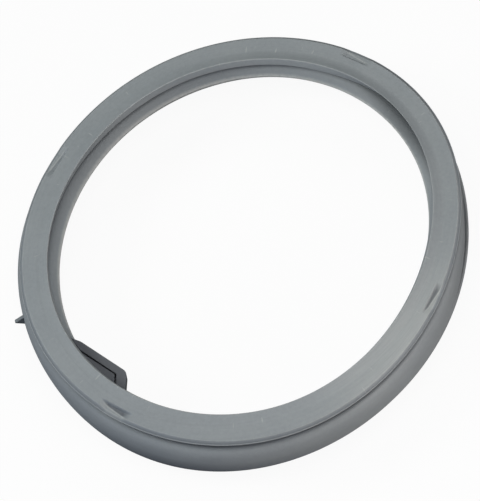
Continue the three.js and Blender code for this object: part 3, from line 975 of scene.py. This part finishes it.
def moulded_rubber_group():
    """Rubber's colour, roughness and normal: mottling, wear, painted shade and painted light."""
    tree = bpy.data.node_groups.new("Moulded Rubber", "ShaderNodeTree")
    for name, kind, value in (
        ("Base Color", "NodeSocketColor", (0.3, 0.3, 0.3, 1)),
        ("Bloom Color", "NodeSocketColor", (0.5, 0.5, 0.5, 1)),
        ("Mottling", "NodeSocketFloat", 0.06),
        ("Bloom", "NodeSocketFloat", 0.2),
        # The outer wall's paleness is painted light
        ("Powder", "NodeSocketFloat", 0.4),
        ("Wear And Highlight", "NodeSocketFloat", 0.3),
        ("Streaks", "NodeSocketFloat", 0.2),
        ("Scuffs", "NodeSocketFloat", 0.3),
        ("Mould Lines", "NodeSocketFloat", 0.05),
        # The shade colour and its strengths paint shade into the grooves, recesses, fold and
        # wall's foot
        ("Painted Shade Color", "NodeSocketColor", (0.05, 0.05, 0.05, 1)),
        ("Painted Shade Strength", "NodeSocketFloat", 0.6),
        ("Fold Shade Strength", "NodeSocketFloat", 0.4),
        ("Roughness", "NodeSocketFloat", 0.55),
        ("Grain Height", "NodeSocketFloat", 0.00002),
    ):
        socket = tree.interface.new_socket(name, in_out="INPUT", socket_type=kind)
        socket.default_value = value
    for name, kind in (
        ("Color", "NodeSocketColor"),
        ("Roughness", "NodeSocketFloat"),
        ("Normal", "NodeSocketVector"),
    ):
        tree.interface.new_socket(name, in_out="OUTPUT", socket_type=kind)

    given = tree.nodes.new("NodeGroupInput").outputs
    place = tree.nodes.new("ShaderNodeTexCoord").outputs["Object"]
    grain = noise_node(tree, *GRAIN_NOISE)
    mottle = noise_node(tree, *MOTTLE_NOISE)
    cloud = noise_node(tree, *CLOUD_NOISE)
    for node in (grain, mottle, cloud):
        tree.links.new(place, node.inputs["Vector"])
    mottle = mottle.outputs["Fac"]

    swing = map_range(tree, mottle, NOISE_SPAN, -1, 1)
    lines = map_range(tree, ring_noise(tree, LINE_NOISE, LINE_STRETCH), NOISE_SPAN, -1, 1)
    lines = math_node(tree, "MULTIPLY_ADD", lines, given["Mould Lines"], 1)
    value = math_node(tree, "MULTIPLY_ADD", swing, given["Mottling"], lines)
    mottled = tree.nodes.new("ShaderNodeVectorMath")
    mottled.operation = "SCALE"
    link(tree, (given["Base Color"], mottled.inputs["Vector"]), (value, mottled.inputs["Scale"]))

    cloudy = map_range(tree, cloud.outputs["Fac"], CLOUD_SPAN, 0, 1)
    # Painted light: the outer wall's colour paled, standing in for light from the sides
    powder = product(tree, attribute(tree, "outer_wall"), given["Powder"])
    pale_share = math_node(tree, "MULTIPLY_ADD", cloudy, given["Bloom"], powder)
    bloomed = mix_colours(tree, pale_share, mottled.outputs["Vector"], given["Bloom Color"])

    broken = map_range(tree, mottle, NOISE_SPAN, FAINTEST_EDGE, 1)
    paled = mix_colours(tree, pale_marks(tree, given, broken), bloomed, given["Bloom Color"])
    # Painted shade: the colour darkened where shade falls, in grooves, recesses, fold and at the
    # wall's foot
    painted_shade = product(tree, attribute(tree, "painted_shade"), given["Painted Shade Strength"])
    fold_shade = product(tree, attribute(tree, "fold_shade"), given["Fold Shade Strength"])
    shade_share = math_node(tree, "MAXIMUM", painted_shade, fold_shade)
    finished = mix_colours(tree, shade_share, paled, given["Painted Shade Color"])

    rough_swing = map_range(tree, mottle, NOISE_SPAN, -ROUGHNESS_SWING, ROUGHNESS_SWING)
    rough = math_node(tree, "ADD", given["Roughness"], rough_swing)
    bump = tree.nodes.new("ShaderNodeBump")
    bump.inputs["Strength"].default_value = 1
    bump.inputs["Distance"].default_value = 1
    height = product(tree, grain.outputs["Fac"], given["Grain Height"])
    tree.links.new(height, bump.inputs["Height"])

    result = tree.nodes.new("NodeGroupOutput").inputs
    link(
        tree,
        (finished, result["Color"]),
        (rough, result["Roughness"]),
        (bump.outputs["Normal"], result["Normal"]),
    )
    return tree


def rubber_material(name, group, **values):
    """A matte rubber with these values given to the moulded rubber's inputs."""
    material = bpy.data.materials.new(name)
    material.use_nodes = True
    tree = material.node_tree
    shader = tree.nodes["Principled BSDF"]
    shader.inputs["Specular IOR Level"].default_value = RUBBER_SPECULAR
    rubber = tree.nodes.new("ShaderNodeGroup")
    rubber.node_tree = group
    for key, value in values.items():
        rubber.inputs[key.replace("_", " ").title()].default_value = value
    link(
        tree,
        (rubber.outputs["Color"], shader.inputs["Base Color"]),
        (rubber.outputs["Roughness"], shader.inputs["Roughness"]),
        (rubber.outputs["Normal"], shader.inputs["Normal"]),
    )
    return material


# Stage, lights and camera

# The floor, in metres, which the camera sees partly as it is lit and for the rest as plain white
FLOOR_HALF_WIDTH = 6
FLOOR_DROP = 0.0003
FLOOR_GREY = srgb(120, 120, 120)
FLOOR_ROUGHNESS = 0.9
FLOOR_LIT_SHARE = 0.25
FLOOR_WHITE = 1.25

# Faint light from all round
AIR_COLOUR = (0.93, 0.97, 1, 1)
AIR_STRENGTH = 0.05
PURE_WHITE = (1, 1, 1, 1)

# Lights as (name, azimuth, elevation, distance and size in metres, power in watts, colour)
BROAD = 0.8
NARROW = 0.5
LIGHTS = (
    ("left key", 175, 40, 1.8, BROAD, 12.6, (0.98, 1, 0.97)),
    ("back fill", 85, 45, 1.8, BROAD, 6, (0.96, 1, 1)),
    ("overhead", -40, 76, 0.95, NARROW, 3.5, (1, 0.98, 0.97)),
    ("right window", -34, 8, 1.4, BROAD, 13, (1, 0.955, 0.95)),
    ("left window", 215, 12, 1.6, BROAD, 5.2, (0.67, 0.77, 1)),
)


def camera_only_white(material, lit_share, brightness):
    """The surface shows mostly as plain white to the camera, and lights the object as it is."""
    tree = material.node_tree
    shader = tree.nodes["Principled BSDF"]
    white = tree.nodes.new("ShaderNodeEmission")
    white.inputs["Color"].default_value = PURE_WHITE
    white.inputs["Strength"].default_value = brightness
    seen = tree.nodes.new("ShaderNodeLightPath").outputs["Is Camera Ray"]
    share = math_node(tree, "MULTIPLY", seen, 1 - lit_share)
    mixed = tree.nodes.new("ShaderNodeMixShader")
    link(
        tree,
        (share, mixed.inputs["Fac"]),
        (shader.outputs["BSDF"], mixed.inputs[1]),
        (white.outputs["Emission"], mixed.inputs[2]),
        (mixed.outputs["Shader"], tree.nodes["Material Output"].inputs["Surface"]),
    )


def floor():
    mesh = bpy.data.meshes.new("floor")
    half = FLOOR_HALF_WIDTH
    corners = [(-half, -half, 0), (half, -half, 0), (half, half, 0), (-half, half, 0)]
    mesh.from_pydata(corners, [], [(0, 1, 2, 3)])
    plane = new_object("floor", mesh)
    plane.location.z = -FLOOR_DROP
    material = bpy.data.materials.new("floor white")
    material.use_nodes = True
    shader = material.node_tree.nodes["Principled BSDF"]
    shader.inputs["Base Color"].default_value = FLOOR_GREY
    shader.inputs["Roughness"].default_value = FLOOR_ROUGHNESS
    camera_only_white(material, FLOOR_LIT_SHARE, FLOOR_WHITE)
    mesh.materials.append(material)


def world_light():
    """Faint light from all round, and plain white to the camera."""
    world = bpy.data.worlds.new("studio")
    bpy.context.scene.world = world
    world.use_nodes = True
    tree = world.node_tree
    air = tree.nodes["Background"]
    air.inputs["Color"].default_value = AIR_COLOUR
    air.inputs["Strength"].default_value = AIR_STRENGTH
    white = tree.nodes.new("ShaderNodeBackground")
    white.inputs["Color"].default_value = PURE_WHITE
    white.inputs["Strength"].default_value = 1
    path = tree.nodes.new("ShaderNodeLightPath")
    mixed = tree.nodes.new("ShaderNodeMixShader")
    link(
        tree,
        (path.outputs["Is Camera Ray"], mixed.inputs["Fac"]),
        (air.outputs["Background"], mixed.inputs[1]),
        (white.outputs["Background"], mixed.inputs[2]),
        (mixed.outputs["Shader"], tree.nodes["World Output"].inputs["Surface"]),
    )


def direction(azimuth, elevation):
    a = math.radians(azimuth)
    e = math.radians(elevation)
    return Vector((math.cos(e) * math.cos(a), math.cos(e) * math.sin(a), math.sin(e)))


def soft_light(name, azimuth, elevation, distance, size, power, colour):
    lamp = bpy.data.lights.new(name, "AREA")
    lamp.shape = "DISK"
    lamp.size = size
    lamp.energy = power
    lamp.color = colour
    made = bpy.data.objects.new(name, lamp)
    bpy.context.scene.collection.objects.link(made)
    away = direction(azimuth, elevation)
    made.location = away * distance
    made.rotation_euler = away.to_track_quat("Z", "Y").to_euler()


# The picture's size in pixels, the size of one pixel at the ring, and the pixel where the ring's
# axis meets the floor
FRAME_WIDTH = 480
FRAME_HEIGHT = 501
PIXEL = 0.78 * MM
AXIS_PIXEL = (244.2, 264.3)
CAMERA_AZIMUTH = -60
CAMERA_ELEVATION = 57
CAMERA_ROLL = -31.06
LENS = 450
SENSOR = 36
CLIP_END = 100


def photo_camera(axis):
    """Looks at the ring from above its front left side, from far off, with the picture tilted."""
    back = direction(CAMERA_AZIMUTH, CAMERA_ELEVATION)
    level_right = Vector((0, 0, 1)).cross(back).normalized()
    level_up = back.cross(level_right)
    roll = math.radians(CAMERA_ROLL)
    right = level_right * math.cos(roll) + level_up * math.sin(roll)
    up = back.cross(right)
    to_middle = (0.5 * FRAME_WIDTH - AXIS_PIXEL[0], AXIS_PIXEL[1] - 0.5 * FRAME_HEIGHT)
    target = Vector((*(axis * MM), 0)) + (right * to_middle[0] + up * to_middle[1]) * PIXEL
    distance = LENS / SENSOR * FRAME_WIDTH * PIXEL
    data = bpy.data.cameras.new("camera")
    data.sensor_fit = "HORIZONTAL"
    data.sensor_width = SENSOR
    data.lens = LENS
    data.clip_end = CLIP_END
    camera = bpy.data.objects.new("camera", data)
    bpy.context.scene.collection.objects.link(camera)
    turn = Matrix((right, up, back)).transposed().to_4x4()
    camera.matrix_world = Matrix.Translation(target + back * distance) @ turn
    bpy.context.scene.camera = camera


# Rubbers, each with its values for the moulded rubber's inputs
GREY = srgb(138, 144, 147)
PALE = srgb(180, 183, 181)
# Colour of the painted shade in the grooves, recesses and fold and at the wall's foot
SHADE_COLOUR = srgb(50, 56, 67)
# The scoop's greys are the ring's rubber darkened: painted shade for the shadow it stands in
SCOOP_SHADED_GREY = srgb(90, 93, 98)
SCOOP_SHADED_PALE = srgb(120, 123, 126)
# The fin's grey is darker than the ring's: painted shade for its side turned from the light
FIN_SHADED_GREY = srgb(112, 118, 121)
RING_RUBBER = {
    "base_color": GREY, "bloom_color": PALE, "painted_shade_color": SHADE_COLOUR, "mottling": 0.06,
    "bloom": 0.1, "powder": 0.1, "wear_and_highlight": 0.42, "streaks": 0.8, "scuffs": 0.45,
    "mould_lines": 0.03, "painted_shade_strength": 0.85, "fold_shade_strength": 0.62, "roughness": 0.55,
}
PLAIN_RUBBER = {
    "painted_shade_color": SHADE_COLOUR, "mottling": 0.05, "powder": 0, "wear_and_highlight": 0.2, "streaks": 0,
    "scuffs": 0, "mould_lines": 0, "painted_shade_strength": 0, "fold_shade_strength": 0, "roughness": 0.6,
}
SHADED_SCOOP_RUBBER = {**PLAIN_RUBBER, "base_color": SCOOP_SHADED_GREY, "bloom_color": SCOOP_SHADED_PALE, "bloom": 0.1}
SHADED_FIN_RUBBER = {**PLAIN_RUBBER, "base_color": FIN_SHADED_GREY, "bloom_color": PALE, "bloom": 0.05}


def build():
    axis = ring_axis()
    photo_camera(axis)
    group = moulded_rubber_group()
    ring_rubber = rubber_material("ring rubber", group, **RING_RUBBER)
    shaded_scoop_rubber = rubber_material("shaded scoop rubber", group, **SHADED_SCOOP_RUBBER)
    shaded_fin_rubber = rubber_material("shaded fin rubber", group, **SHADED_FIN_RUBBER)

    ring = seal_ring(axis)
    ring.data.materials.append(ring_rubber)
    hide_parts("door_seal")
    scoop = water_scoop(axis)
    scoop.data.materials.append(shaded_scoop_rubber)
    fin = alignment_fin(axis)
    fin.data.materials.append(shaded_fin_rubber)
    for piece in (ring, scoop, fin):
        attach(piece, "root")

    floor()
    world_light()
    for light in LIGHTS:
        soft_light(*light)
    bpy.context.scene.view_settings.view_transform = "Standard"


build()
